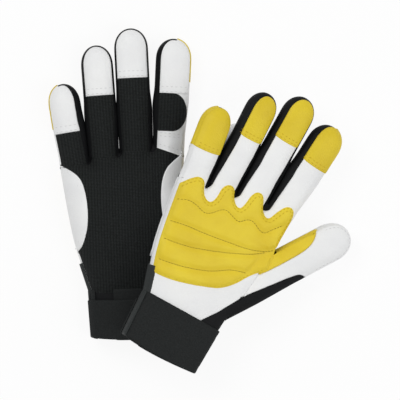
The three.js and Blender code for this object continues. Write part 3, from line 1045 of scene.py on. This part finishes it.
# The patch folds here as the thumb closes.
THUMB_CREASE = [(41.5, 75), (36.5, 69.5), (32.5, 60), (30.5, 48), (27, 38)]
NOTCH_DEPTH, NOTCH_POINTS = 2.6, 7
THUMB_SEAM = (1.0, 2.2)  # depth and half width of the fold where the thumb is sewn on
WRIST = -3  # the hand's panels end here, inside the cuff


def hand_edge(side, inset, low, high):
    line = even(rounded(stretched(side, HAND_EDGE)), 1.5)
    return line[(line[:, 1] > low) & (line[:, 1] < high)] + (inset, 0)


def root_line(side, insets, slant=0.0):
    """Across the four finger roots, little finger first, with a round notch between two neighbours."""
    ends = []
    for name in FINGERS:
        stall = STALLS[side][name]
        half = straight_half(stall, np.array(0.0))
        x = (-half + min(2.0, insets[name][0]), half - min(2.0, insets[name][1]))
        ends.append(
            in_glove(stall, [(x[0], CREASE[name]), (x[1], CREASE[name] - (slant if name == "index" else 0))])
        )
    line = [ends[0]]
    for before, after in zip(ends[:-1], ends[1:]):
        a, b = before[1], after[0]
        turn = np.linspace(0, math.pi, NOTCH_POINTS + 2)[1:-1, None]
        line.append((a + b) / 2 - np.cos(turn) * (b - a) / 2 - np.sin(turn) * (0, NOTCH_DEPTH))
        line.append(after)
    return np.vstack(line)


def notches(roots):
    """The notches' own stretches of a root line: the straight ends between them aren't folded edges."""
    return [part for part in np.split(roots, np.arange(2, len(roots), NOTCH_POINTS + 2)) if len(part) > 4]


def base_line(side, low, high):
    """Points on the thumb's base line between two heights."""
    (u1, v1), (u2, v2) = stretched(side, BASE_LINE)
    v = np.linspace(low, high, 20)
    return np.stack([u2 + (u1 - u2) * (v - v2) / (v1 - v2), v], 1)


def smooth_line(side, points):
    return even(rounded(stretched(side, points)), LINE_STEP)


def seam_fold(points, line, depth, width):
    return depth * np.exp(-((distance(points, line) / width) ** 2))


def hand_blend(side):
    """The thumb bends across its base line, so the blend runs across that line, from hand to thumb."""
    middle = np.array([*stretched(side, [(37.5, 41)])[0], 9.0])
    along = np.array([math.cos(math.radians(6.5)), -math.sin(math.radians(6.5)), 0.0])
    start, end = to_world(side, middle - along * 3), to_world(side, middle + along * 13)
    return (f"{side}_hand", f"{side}_thumb", tuple(start), tuple(end))


# %% [markdown]
# The palm side of the hand: its white hide folds in where the thumb is sewn on, and the black gusset at the
# wrist closes the corner between hide and thumb.


# %% Sew the palm of the hand
def sew_hand(side):
    body = f"{side}_hand"
    stretch = SIDES[side]["stretch"]
    thumb_v = BASE_LINE[0][1] * stretch

    edge = hand_edge(side, 1, WRIST, 91 * stretch)
    roots = root_line(side, FRONT_INSET)
    index_side = stretched(side, [(43.0, 97), (41.6, 86)])
    gusset = stretched(side, GUSSET_EDGE)
    sewn = base_line(side, 31 * stretch, thumb_v)[::-1]
    outline = np.vstack([[(-28, WRIST)], edge, roots, index_side, sewn, gusset[::-1], [(15, WRIST)]])
    rims = [edge, np.vstack([roots[-1:], index_side, sewn[:1]]), gusset]
    rims += notches(roots)

    def palm_lift(points, e):
        return base_lift(points, e) - seam_fold(points, sewn, *THUMB_SEAM)

    sew_panel(
        side, "palm", outline, palm_lift, rims, f"{side}_palm_hide", WHITE, body, 0.8,
        replaced=[f"{side}_palm_leather"], slot="white_leather"
    )

    outline = np.vstack([gusset, base_line(side, 4, 31 * stretch)[::-1], [(33.4, 2), (32.6, WRIST)]])
    sew_panel(
        side, "palm", outline, lambda p, e: -0.35 + 0.5 * roll(e), gusset, f"{side}_wrist_gusset_cloth",
        STRETCH, body, 0.6, slot="black_spandex"
    )


# %% [markdown]
# The back of the hand: the knit first, and then the two white leather crescents over its sides, each held by
# two rows of stitches.


# %% Sew the back of the hand
def sew_hand_back(side):
    body = f"{side}_hand"
    stretch = SIDES[side]["stretch"]
    thumb_v = BASE_LINE[0][1] * stretch
    left, right = smooth_line(side, KNIT_LEFT), smooth_line(side, KNIT_RIGHT)
    roots = root_line(side, BACK_INSET, slant=INDEX_SLANT)
    lower = hand_edge(side, 1.2, WRIST, 27 * stretch)
    # The knit reaches under the crescents, but not past the edge of the hand.
    outer, inner = hand_edge(side, 1.4, -4, 93 * stretch), stretched(side, THUMB_EDGE)
    under_left, under_right = left + (-2, 0), right + (2, 0)
    under_left[:, 0] = np.maximum(under_left[:, 0], np.interp(under_left[:, 1], outer[:, 1], outer[:, 0]))
    under_right[:, 0] = np.minimum(under_right[:, 0], np.interp(under_right[:, 1], inner[:, 1], inner[:, 0]))
    outline = np.vstack([[(-28, WRIST)], lower, under_left, roots, under_right, [(28, WRIST)]])
    rims = notches(roots) + [lower]
    sew_panel(
        side, "back", outline, base_lift, rims, f"{side}_back_knit", BLACK_KNIT, body, 0.8,
        replaced=[f"{side}_knit_back"], slot="black_knit"
    )

    outer = hand_edge(side, 0.8, 26 * stretch, 91 * stretch)
    outline = np.vstack([outer, left[::-1]])
    sew_panel(
        side, "back", outline, top_lift, closed_line(outline), f"{side}_little_side_crescent", WHITE, body,
        TOP_WALL, slot="white_leather"
    )
    outer = np.vstack(
        [stretched(side, [(42.6, 98), (42.0, 90), (41.3, 82)]), base_line(side, 8 * stretch, thumb_v)[::-1]]
    )
    outline = np.vstack([right[::-1], outer])
    edge = np.vstack([outer[:4], outer[:3][::-1], right])
    sew_panel(
        side, "back", outline, top_lift, edge, f"{side}_thumb_side_crescent", WHITE, body, TOP_WALL,
        slot="white_leather"
    )
    for name, line, shifts in (("little_side", left, (-1.6, -4.0)), ("thumb_side", right, (1.6, 4.0))):
        stitch(
            side, "back", [line[2:-3] + (shift, 0) for shift in shifts], f"{side}_{name}_stitches", "white",
            body, 0.93
        )


# %% [markdown]
# The edges of the hand: white leather turns over them from the palm to the back, a grey binding hems the
# vent, and dark cloth shows in the notches between the finger roots.


# %% Sew the edges of the hand
def sew_hand_edges(side):
    body = f"{side}_hand"
    stretch = SIDES[side]["stretch"]
    little = STALLS[side]["little"]
    corner = in_glove(little, [(-straight_half(little, np.array(0.0)), 1.0)])
    strip = np.vstack([hand_edge(side, 0, WRIST, 93 * stretch), corner])
    rim_strip(side, strip, -40, 52, f"{side}_little_side_hide", WHITE, body, lift=0.0, slot="white_leather")
    index = STALLS[side]["index"]
    corner = in_glove(index, [(straight_half(index, np.array(0.0)), y) for y in (1.0, -4.0, -9.0)])
    strip = np.vstack([corner, stretched(side, [(43.2, 88), (42.5, 82), (42, 77)])])
    rim_strip(side, strip, -50, 50, f"{side}_index_side_hide", WHITE, body, lift=0.0, slot="white_leather")
    binding = hand_edge(side, 0, -2.5, 19.5 * stretch)
    rim_strip(
        side, binding, -44, 20, f"{side}_vent_binding", BINDING, body, lift=0.1, thick=1.3, wall=1.2,
        slot="neoprene"
    )

    names = list(FINGERS)
    for face in ("palm", "back"):
        for before, after in zip(names[:-1], names[1:]):
            a, b = STALLS[side][before], STALLS[side][after]
            low = max(CREASE[before], CREASE[after])
            middle = (in_glove(a, [(a["root_half"], low)])[0] + in_glove(b, [(-b["root_half"], low)])[0]) / 2
            turn = np.linspace(0, 2 * math.pi, 17)[:-1]
            sheet = cut_panel(middle + np.stack([np.cos(turn) * 4.6, np.sin(turn) * 4.2 - 1.2], 1), rings=())
            up = lay(sheet, side, face, lambda p, e: np.full(len(p), -0.35), middle[None, :].repeat(2, 0))
            add_piece(
                sheet, f"{side}_{before}_{after}_crotch_{face}", STRETCH, body, 0.5, up, slot="black_spandex"
            )


# %% [markdown]
# The padded patch. Its height falls at the edge, along the quilted channels and at the crease where the
# thumb folds, and small puckers spread from the thumb's crotch.


# %% Sew the padded palm patch
PAD_ROLL, PAD_HEIGHT = 3.2, 2.6
CHANNEL_SEAM, SCALLOP_SEAM, CREASE_FOLD = (1.9, 2.1), (1.3, 1.5), (1.9, 2.0)  # depth and half width
PUCKER_HEIGHT, PUCKER_REACH, PUCKERS = 0.75, 15, 11


def sew_patch(side):
    lobes, foot = smooth_line(side, LOBES), smooth_line(side, PATCH_FOOT)
    edge = smooth_line(side, [PATCH_FOOT[-1], *PATCH_EDGE, LOBES[0]])
    outline = np.vstack([lobes, foot, edge])
    # The patch stops short of the little finger's edge, so that it cannot be seen from the back.
    reach = hand_edge(side, 1.2, -4, 99 * SIDES[side]["stretch"])

    def limit(points):
        return np.interp(points[:, 1], reach[:, 1], reach[:, 0])

    outline[:, 0] = np.maximum(outline[:, 0], limit(outline))
    closed = closed_line(outline)
    crease = smooth_line(side, THUMB_CREASE)
    channels = [smooth_line(side, line) for line in CHANNELS]
    scallop = smooth_line(side, SCALLOP)
    crotch = stretched(side, [(40, 73)])[0]

    def lift(points, e):
        height = -0.2 + 1.1 * roll(e, 1.0) + (PAD_HEIGHT - 1.1) * roll(np.maximum(0, e - 1.6), PAD_ROLL)
        for line in channels:
            height -= seam_fold(points, line, *CHANNEL_SEAM) * (height / PAD_HEIGHT)
        height -= seam_fold(points, scallop, *SCALLOP_SEAM) * (height / PAD_HEIGHT)
        height -= seam_fold(points, crease, *CREASE_FOLD) * np.clip(height / PAD_HEIGHT, 0, 1)
        height *= 0.35 + 0.65 * smoothstep(1, 5, look_up(side, "distance", points))
        away = points - crotch
        r, turn = np.hypot(*away.T), np.arctan2(away[:, 1], away[:, 0])
        height += PUCKER_HEIGHT * np.exp(-r / PUCKER_REACH) * np.sin(turn * PUCKERS) * smoothstep(1, 4, r)
        height = np.maximum(height, -0.2 + 0.95 * roll(e, 0.8))
        # The glove that lies palm down rests on its patch, so the padding is pressed flat on the floor.
        return np.minimum(height, look_up(side, "palm", points) - 0.1) if SIDES[side]["up"] > 0 else height

    sheet = cut_panel(outline, PITCH * 0.75)
    outward = lay(sheet, side, "palm", lift, closed)
    patch = add_piece(
        sheet, f"{side}_palm_pad_leather", YELLOW, f"{side}_hand", 1.0, outward,
        replaced=[f"{side}_palm_patch"], slot="yellow_leather"
    )

    def beside(line, away):
        ahead = np.gradient(line, axis=0)
        ahead /= np.linalg.norm(ahead, axis=1)[:, None]
        return line + np.stack([ahead[:, 1], -ahead[:, 0]], 1) * away

    edging = [beside(lobes, 1.0), beside(lobes, 3.0), beside(foot, 1.4)]
    # The quilting threads lie a little higher, because the cells of the panel bridge its grooves.
    # The quilting runs almost unbroken in a dark thread: real stitches, and painted shade along the channel
    # grooves.
    for rows, name, thread, gap, up in (
        (edging, "stitches", "yellow", 0.9, 0.04), ([*channels, scallop], "quilting", "ochre_and_groove_shade", 0.1, 0.3)
    ):
        rows = [row[row[:, 0] > limit(row) + 1.5] for row in rows]
        stitch(
            side, "palm", rows, f"{side}_palm_pad_{name}", thread, f"{side}_hand",
            lambda p, up=up: lift(p, distance(p, closed)) + up, gap=gap
        )


# %% [markdown]
# The thumb. It is sewn on along a line from the crotch down to the wrist. Its palm side is white leather,
# with a yellow saddle towards the palm and a black stretch gusset below; its back is knit with a white cap.

# %% Sew the thumb
SADDLE_SEAM = [(-5.6, 10), (-4.8, 18), (-4.9, 41), (-5.5, 52), (-8, 61), (-13.2, 67)]
THUMB_GUSSET = [(4, -7.6), (5.6, 16.6), (8, 40.4), (13, 43.5)]
THUMB_CAP = 44


def thumb_side(stall, side_sign, low, high, inset):
    y = np.arange(low, high, 1.4)
    return np.stack([side_sign * (straight_half(stall, y) - inset), y], 1)


def sew_thumb(side):
    stall = STALLS[side]["thumb"]
    body, blend = f"{side}_thumb", hand_blend(side)
    stretch = SIDES[side]["stretch"]
    foot = in_stall(stall, base_line(side, -1, BASE_LINE[0][1] * stretch))
    saddle, gusset = smooth_line(side, SADDLE_SEAM), smooth_line(side, THUMB_GUSSET)
    cap, saddle_end = THUMB_CAP * stretch, SADDLE_SEAM[-1][1] * stretch
    fold = in_glove(stall, foot)

    def on_foot(x):
        order = np.argsort(foot[:, 0])
        return (x, np.interp(x, foot[order, 0], foot[order, 1]))

    def thumb_lift(points, e):
        return top_lift(points, e) - seam_fold(points, fold, *THUMB_SEAM)

    left_x, right_x = -straight_half(stall, np.array(31.0)) + 1, straight_half(stall, np.array(0.0)) - 1
    tip = stall_outline(stall, saddle_end, cap, (1.1, 1.3, 1.4))
    front = np.vstack(
        [[on_foot(saddle[0, 0])], saddle[1:-1], tip, gusset[::-1][1:-1], [on_foot(gusset[0, 0])]]
    )
    seams = [np.vstack([saddle[1:-1], tip, gusset[::-1][1:-1]])]
    pieces = [(front, seams, "front_hide", WHITE, "white_leather", ["thumb_front"])]
    side_line = thumb_side(stall, -1, 33 * stretch, saddle_end, 1.1)
    shape = np.vstack([[on_foot(left_x)], side_line, saddle[::-1][1:-1], [on_foot(saddle[0, 0])]])
    edge = np.vstack([side_line, saddle[::-1][1:-1]])
    pieces.append((shape, [edge], "saddle_hide", YELLOW, "yellow_leather", ["thumb_saddle"]))
    side_line = thumb_side(stall, 1, -26 * stretch, cap, 1.1)[::-1]
    shape = np.vstack([[on_foot(gusset[0, 0])], gusset[1:-1], side_line, [on_foot(right_x)]])
    pieces.append(
        (shape, [np.vstack([gusset[1:-1], side_line])], "gusset_cloth", STRETCH, "black_spandex", [])
    )
    for shape, seam, name, finish, slot, replaced in pieces:
        edges = [in_glove(stall, line) for line in seam]
        sew_panel(
            side, "palm", in_glove(stall, shape), thumb_lift, edges, f"{side}_thumb_{name}", finish, body,
            0.8, stall, blend, replaced=[f"{side}_{part}" for part in replaced], slot=slot
        )

    left = thumb_side(stall, -1, 33 * stretch, cap + 2, 1.2)
    right = thumb_side(stall, 1, -26 * stretch, cap + 2, 1.2)[::-1]
    shape = np.vstack([[on_foot(left_x)], left, right, [on_foot(right_x)]])
    edges = [in_glove(stall, left), in_glove(stall, right)]
    sew_panel(
        side, "back", in_glove(stall, shape), base_lift, edges, f"{side}_thumb_back_knit", BLACK_KNIT, body,
        FINGER_WALL, stall, blend, replaced=[f"{side}_thumb_back"], slot="black_knit"
    )
    shape = in_glove(stall, stall_outline(stall, cap, cap, (1.2, 1.2, 1.5)))
    sew_panel(
        side, "back", shape, top_lift, closed_line(shape), f"{side}_thumb_cap_hide", WHITE, body, TOP_WALL,
        stall, blend, slot="white_leather"
    )

    rim = in_glove(stall, stall_outline(stall, 82, 50, (3.4, 3.4, 3.4)))
    stitch(side, "palm", [rim], f"{side}_thumb_stitches", "white", body, TOP_LIFT + TOP_ROLL + 0.03, blend)

    run = in_glove(stall, stall_outline(stall, 32 * stretch, -26 * stretch))
    y = in_stall(stall, run)[:, 1]
    top = int(np.argmax(y))
    first = int(np.argmax(y[:top] > saddle_end))
    last = top + int(np.argmax(y[top:] < cap))
    for name, part, finish, kept, angles in (
        ("saddle_side", run[: first + 2], YELLOW, "yellow_leather", (-42, 40)),
        ("side_hide", run[first:last], WHITE, "white_leather", (-42, 42)),
        ("gusset_side", run[last - 2 :], STRETCH, "black_spandex", (-42, 42)),
    ):
        rim_strip(side, part, *angles, f"{side}_thumb_{name}", finish, body, lift=0.0, blend=blend, slot=kept)


for side in SIDES:
    sew_hand(side)
    sew_hand_back(side)
    sew_hand_edges(side)
    sew_patch(side)
    sew_thumb(side)
    print(side, "hand, patch and thumb sewn")

# %% [markdown]
# The cuff is a band of neoprene round the wrist with a vent at the little finger's side of the back. A tab
# is sewn beside the vent and closes over it on to a loop pad. All of them are drawn flat, by distance round
# the wrist and place along it, and then rolled round one section.

# %% Roll round the wrist
CUFF = {"low": -36.5, "high": -0.5, "half": 31, "equator": 12, "up": 12, "down": 11.5}
TURNS = np.arange(-180, 541, 1.0)


def on_section(degrees, offset):
    """A point of the wrist's section: u and z. 0 degrees is the thumb's side, 90 the back."""
    angle = np.radians(degrees)
    c, s = np.cos(angle), np.sin(angle)
    back = s >= 0
    power = np.where(back, 2.3, 4.5)
    height = np.where(back, CUFF["up"], CUFF["down"])
    u = np.sign(c) * np.abs(c) ** (2 / power) * (CUFF["half"] + offset)
    return u, CUFF["equator"] + np.sign(s) * np.abs(s) ** (2 / power) * (height + offset)


ROUND = np.concatenate([[0], np.cumsum(np.hypot(*[np.diff(axis) for axis in on_section(TURNS, 0)]))])


def girth_at(degrees):
    return float(np.interp(degrees, TURNS, ROUND))


def roll_round(sheet, side, lift, edge):
    points = np.array([v.co.xy for v in sheet.verts])
    e = distance(points, edge)
    u, z = on_section(np.interp(points[:, 0], ROUND, TURNS), lift(points, e))
    pattern = sheet.loops.layers.uv.new("pattern")
    # The cuff narrows a little towards its open end, which bows out in the middle.
    share = (CUFF["high"] - points[:, 1]) / (CUFF["high"] - CUFF["low"])
    v = points[:, 1] - 2.6 * (1 - (u / 36) ** 2) * share
    u = u * (1 - 0.05 * share) + 3.8 * smoothstep(2, 31, u)
    for vertex, xyz in zip(sheet.verts, to_world(side, np.column_stack([u, v, z]))):
        vertex.co = xyz
    for f in sheet.faces:
        for loop in f.loops:
            loop[pattern].uv = points[loop.vert.index] / 1000
    centre = Vector(to_world(side, (0, -18, CUFF["equator"])))
    along = Vector(SIDES[side]["axes"][1])

    def outward(place):
        away = place - centre
        return away - along * away.dot(along)

    return outward


def band_shape(low, high, start, end, corner=0.5, free_corner=0.5):
    """A flat strip between two angles, with its corners rounded: free_corner at the start."""
    a, b = girth_at(start), girth_at(end)
    shape = []
    for x, y, radius, first in (
        (a, high, free_corner, 180), (b, high, corner, 90), (b, low, corner, 0), (a, low, free_corner, -90)
    ):
        cx, cy = x + radius * (1 if x == a else -1), y + radius * (1 if y == low else -1)
        turn = np.radians(np.linspace(first, first - 90, 7))
        shape.append(np.stack([cx + np.cos(turn) * radius, cy + np.sin(turn) * radius], 1))
    return np.vstack(shape)


def sew_band(side, shape, lift, name, finish, body, wall, **kept):
    sheet = cut_panel(shape)
    outward = roll_round(sheet, side, lift, closed_line(shape))
    return add_piece(sheet, name, finish, body, wall, outward, **kept)


def groove(e, at, depth, width):
    """A row of machine stitches presses a groove along a band, at its distance from the edge."""
    return depth * np.exp(-(((e - at) / width) ** 2))


# %% [markdown]
# The cuff runs from the vent right round the wrist and back. Stretch cloth lies behind the vent, and a grey
# binding hems its edge at the little finger's side.


# %% Sew the cuff
CUFF_ENDS = (150, 472)
VENT_ENDS = (106, 156)
BINDING_ENDS = (172, 194)


def sew_cuff(side):
    body = f"{side}_hand"

    def cuff_lift(points, e):
        return -0.8 + 0.8 * roll(e, 1.0) - groove(e, 4.2, 0.45, 0.8)

    shape = band_shape(CUFF["low"], CUFF["high"], *CUFF_ENDS)
    sew_band(
        side, shape, cuff_lift, f"{side}_cuff_cloth", NEOPRENE, body, 1.0, replaced=[f"{side}_cuff_band"],
        slot="neoprene"
    )
    for name, ends, at, up, finish, slot in (
        ("vent_gusset_cloth", VENT_ENDS, -1.6, 0.2, STRETCH, "black_spandex"),
        ("cuff_binding", BINDING_ENDS, 0.0, 1.3, BINDING, "neoprene"),
    ):
        shape = band_shape(CUFF["low"] + 0.3, CUFF["high"], *ends)
        sew_band(
            side, shape, lambda p, e, at=at, up=up: at + up * roll(e, 1.5), f"{side}_{name}", finish, body,
            0.8, slot=slot
        )


# %% [markdown]
# The tab is sewn down beside the vent and reaches over it. Its free end lies lower, on the loop pad, so that
# the hook pad under it meets the loops.


# %% Sew the wrist tab
TAB_ENDS = (52, 172)
PAD_ENDS = (58, 104)


def sew_tab(side):
    body, tab = f"{side}_hand", f"{side}_tab"
    sewn = girth_at(TAB_ENDS[1])

    def tab_lift(points, e):
        height = 3.5 - 2.0 * smoothstep(-34, -4, points[:, 0] - sewn)
        return height + 1.0 * roll(e, 1.2) - groove(e, 3.8, 0.5, 0.7)

    shape = band_shape(-36, -8, *TAB_ENDS, free_corner=5)
    sew_band(
        side, shape, tab_lift, f"{side}_tab_cloth", NEOPRENE, tab, 1.3, replaced=[f"{side}_wrist_tab"],
        slot="neoprene"
    )
    for name, owner, offset in (("loop_pad", body, 0.35), ("hook_pad", tab, 1.65)):
        shape = band_shape(-33, -11, *PAD_ENDS, 1.5, 1.5)
        sew_band(
            side, shape, lambda p, e, at=offset: at + 0.5 + 0.4 * roll(e, 0.6), f"{side}_{name}_pile", PILE,
            owner, 0.9, replaced=[f"{side}_{name}"], slot="hook_and_loop"
        )


for side in SIDES:
    sew_cuff(side)
    sew_tab(side)
    print(side, "cuff and tab sewn")


# %% [markdown]
# The stage: a pale floor, soft light from all round and a little more from the upper left.

# %% Stage and light
FLOOR_GAP = 0.0006  # the floor lies just under the lowest leather
FLOOR_GLOW = 0.9  # how much of the floor that the camera sees is its own light


def make_stage():
    sheet = bmesh.new()
    bmesh.ops.create_grid(sheet, x_segments=1, y_segments=1, size=6)
    bmesh.ops.translate(sheet, verts=sheet.verts[:], vec=(0, 0, cad_low.z - FLOOR_GAP))
    mesh = bpy.data.meshes.new("floor")
    sheet.to_mesh(mesh)
    sheet.free()
    floor = bpy.data.objects.new("floor", mesh)
    scene.collection.objects.link(floor)
    paper = bpy.data.materials.new("white_floor")
    paper.use_nodes = True
    tree = paper.node_tree
    shader = tree.nodes["Principled BSDF"]
    shader.inputs["Base Color"].default_value = (0.92, 0.92, 0.92, 1)
    shader.inputs["Roughness"].default_value = 0.9
    glow = tree.nodes.new("ShaderNodeEmission")
    glow.inputs["Strength"].default_value = 1.0
    path = tree.nodes.new("ShaderNodeLightPath")
    seen = node(
        tree, "ShaderNodeMath", [(path.outputs["Is Camera Ray"], 0), (path.outputs["Is Glossy Ray"], 1)],
        operation="ADD"
    )
    seen = node(
        tree, "ShaderNodeMath", [(seen.outputs[0], 0), (path.outputs["Is Transmission Ray"], 1)],
        operation="ADD", use_clamp=True
    )
    share = node(tree, "ShaderNodeMath", [(seen.outputs[0], 0), (FLOOR_GLOW, 1)], operation="MULTIPLY")
    mix = tree.nodes.new("ShaderNodeMixShader")
    tree.links.new(share.outputs[0], mix.inputs[0])
    tree.links.new(shader.outputs[0], mix.inputs[1])
    tree.links.new(glow.outputs[0], mix.inputs[2])
    tree.links.new(mix.outputs[0], tree.nodes["Material Output"].inputs["Surface"])
    mesh.materials.append(paper)


def make_light(name, place, size, power):
    lamp = bpy.data.lights.new(name, "AREA")
    lamp.size = size
    lamp.energy = power
    light = bpy.data.objects.new(name, lamp)
    light.location = place
    light.rotation_euler = (-Vector(place)).to_track_quat("-Z", "Y").to_euler()
    scene.collection.objects.link(light)


make_stage()
make_light("key", (-0.9, 0.9, 1.7), 1.1, 16)
make_light("fill", (1.2, -0.5, 1.5), 1.4, 13)
world = bpy.data.worlds.new("room")
world.use_nodes = True
world.node_tree.nodes["Background"].inputs["Color"].default_value = (1, 1, 1, 1)
world.node_tree.nodes["Background"].inputs["Strength"].default_value = 0.46
scene.world = world
scene.view_settings.view_transform = "Standard"
print("two lamps over a pale floor")
